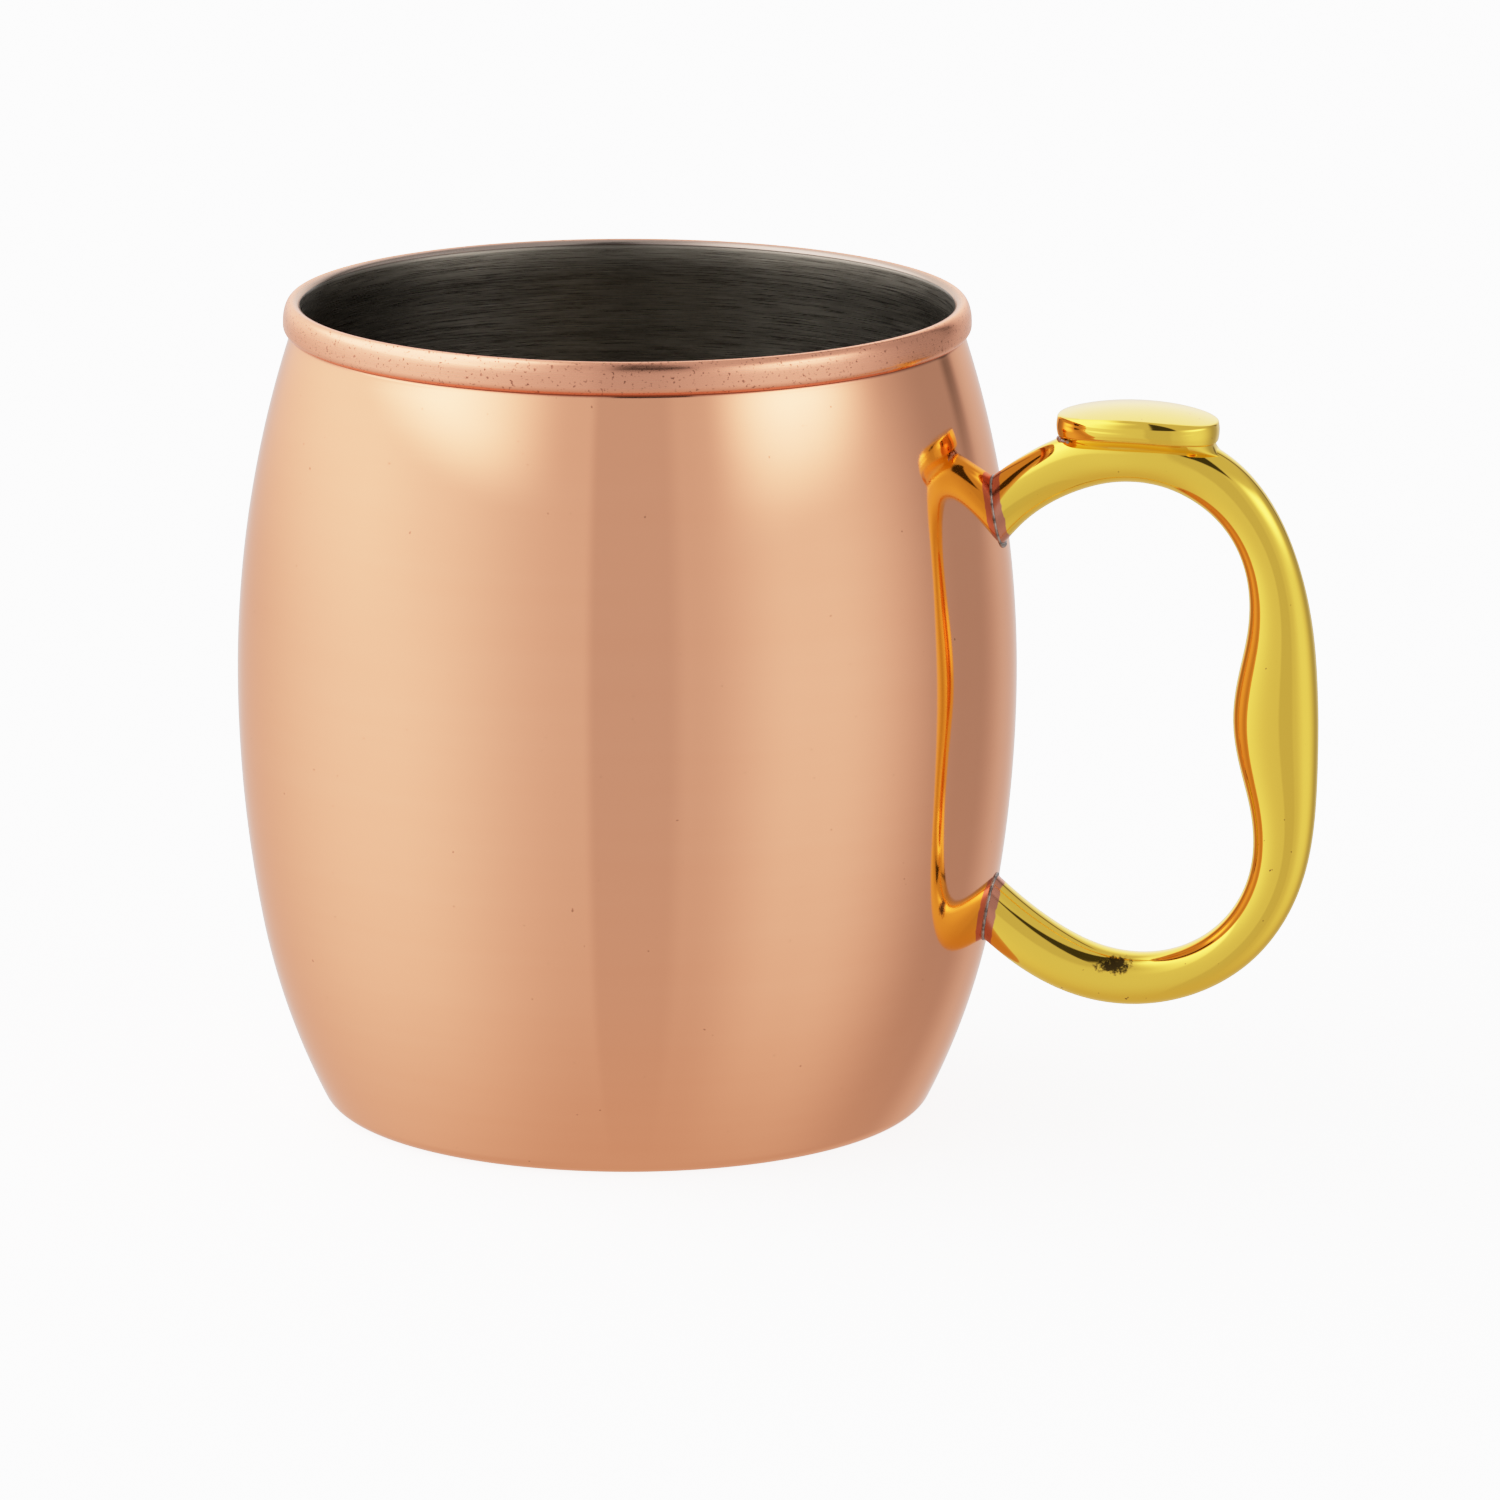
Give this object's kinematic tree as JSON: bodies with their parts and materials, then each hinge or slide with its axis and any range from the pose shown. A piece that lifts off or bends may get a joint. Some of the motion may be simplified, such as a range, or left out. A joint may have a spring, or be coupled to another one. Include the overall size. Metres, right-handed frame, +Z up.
{
  "type": "barrel mug",
  "caption": "Barrel-shaped drinking mug with a copper outside, a steel inside, a rolled rim and a cast brass C-handle with a thumb rest.",
  "frame": {"origin": "middle of the ring that the mug stands on, on the table", "axes": "+Z up along the barrel's axis, +X from the barrel to the handle, +Y across the handle; the mug is symmetric about the XZ plane"},
  "size_m": [0.1331, 0.0952, 0.1],
  "materials": {
    "steel": "brushed around the axis",
    "copper": "polished copper plating, finely brushed around the axis",
    "cast_brass": "cast brass, polished",
    "solder": "silver solder, dull and slightly pitted"
  },
  "bodies": {
    "root": {"steel_cup": "steel", "copper_plating": "copper", "handle": "cast_brass", "thumb_rest": "cast_brass", "thumb_rest_braze": "solder", "upper_braze": "solder", "lower_braze": "solder"}
  },
  "joints": []
}
